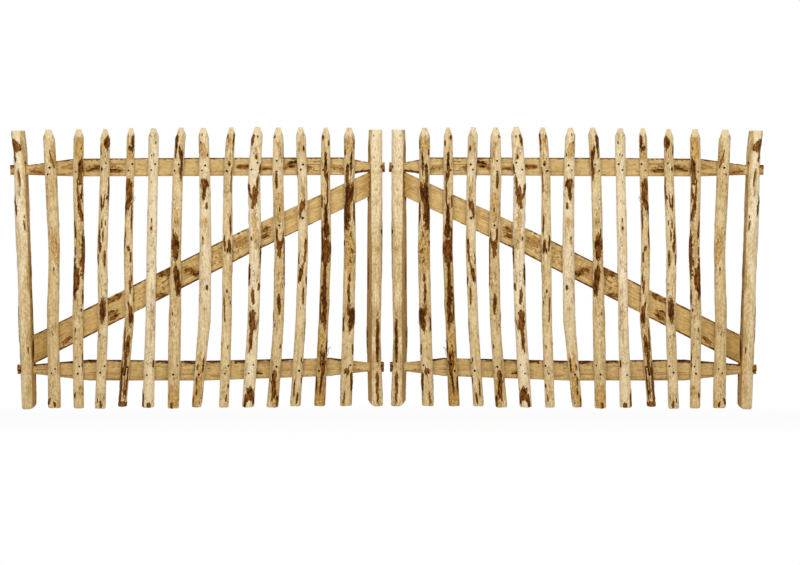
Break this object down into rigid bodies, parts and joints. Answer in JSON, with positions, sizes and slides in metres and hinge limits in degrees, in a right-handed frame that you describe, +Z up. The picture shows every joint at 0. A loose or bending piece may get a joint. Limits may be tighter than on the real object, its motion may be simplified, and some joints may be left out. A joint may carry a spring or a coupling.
{
  "type": "rustic paling double gate",
  "caption": "Pair of swinging wooden gate leaves with pointed cleft pales on tapered tenoned rails, a rising brace in each leaf, and screw eyes hung on plate hooks.",
  "frame": {"origin": "middle of the left bottom hook's plate, on the face that lies on the post", "axes": "+X to the right along the gate, +Y to the back towards the posts, +Z up; the pales face -Y"},
  "size_m": [3.0966, 0.1652, 1.1604],
  "materials": {
    "stile_wood": "peeled, matt",
    "rail_wood": "hewn, matt",
    "brace_wood": "hewn, matt",
    "pale_wood": "cleft and peeled with bark left on, matt",
    "hinge_steel": "galvanised"
  },
  "bodies": {
    "hooks": {"left_top_hook": "hinge_steel", "left_bottom_hook": "hinge_steel", "right_top_hook": "hinge_steel", "right_bottom_hook": "hinge_steel"},
    "left_leaf": {"left_hanging_stile": "stile_wood", "left_meeting_stile": "stile_wood", "left_top_rail": "rail_wood", "left_bottom_rail": "rail_wood", "left_brace": "brace_wood", "left_pale_01": "pale_wood", "left_pale_02": "pale_wood", "left_pale_03": "pale_wood", "left_pale_04": "pale_wood", "left_pale_05": "pale_wood", "left_pale_06": "pale_wood", "left_pale_07": "pale_wood", "left_pale_08": "pale_wood", "left_pale_09": "pale_wood", "left_pale_10": "pale_wood", "left_pale_11": "pale_wood", "left_pale_12": "pale_wood", "left_pale_13": "pale_wood", "left_top_eye": "hinge_steel", "left_bottom_eye": "hinge_steel"},
    "right_leaf": {"right_hanging_stile": "stile_wood", "right_meeting_stile": "stile_wood", "right_top_rail": "rail_wood", "right_bottom_rail": "rail_wood", "right_brace": "brace_wood", "right_pale_01": "pale_wood", "right_pale_02": "pale_wood", "right_pale_03": "pale_wood", "right_pale_04": "pale_wood", "right_pale_05": "pale_wood", "right_pale_06": "pale_wood", "right_pale_07": "pale_wood", "right_pale_08": "pale_wood", "right_pale_09": "pale_wood", "right_pale_10": "pale_wood", "right_pale_11": "pale_wood", "right_pale_12": "pale_wood", "right_pale_13": "pale_wood", "right_top_eye": "hinge_steel", "right_bottom_eye": "hinge_steel"}
  },
  "joints": [
    {"name": "left_swing", "type": "hinge", "parent": "hooks", "child": "left_leaf", "pos_m": [0, -0.065, 0], "axis": [0, 0, -1], "range_deg": [0, 90]},
    {"name": "right_swing", "type": "hinge", "parent": "hooks", "child": "right_leaf", "pos_m": [2.99, -0.065, 0], "axis": [0, 0, 1], "range_deg": [0, 90]}
  ]
}
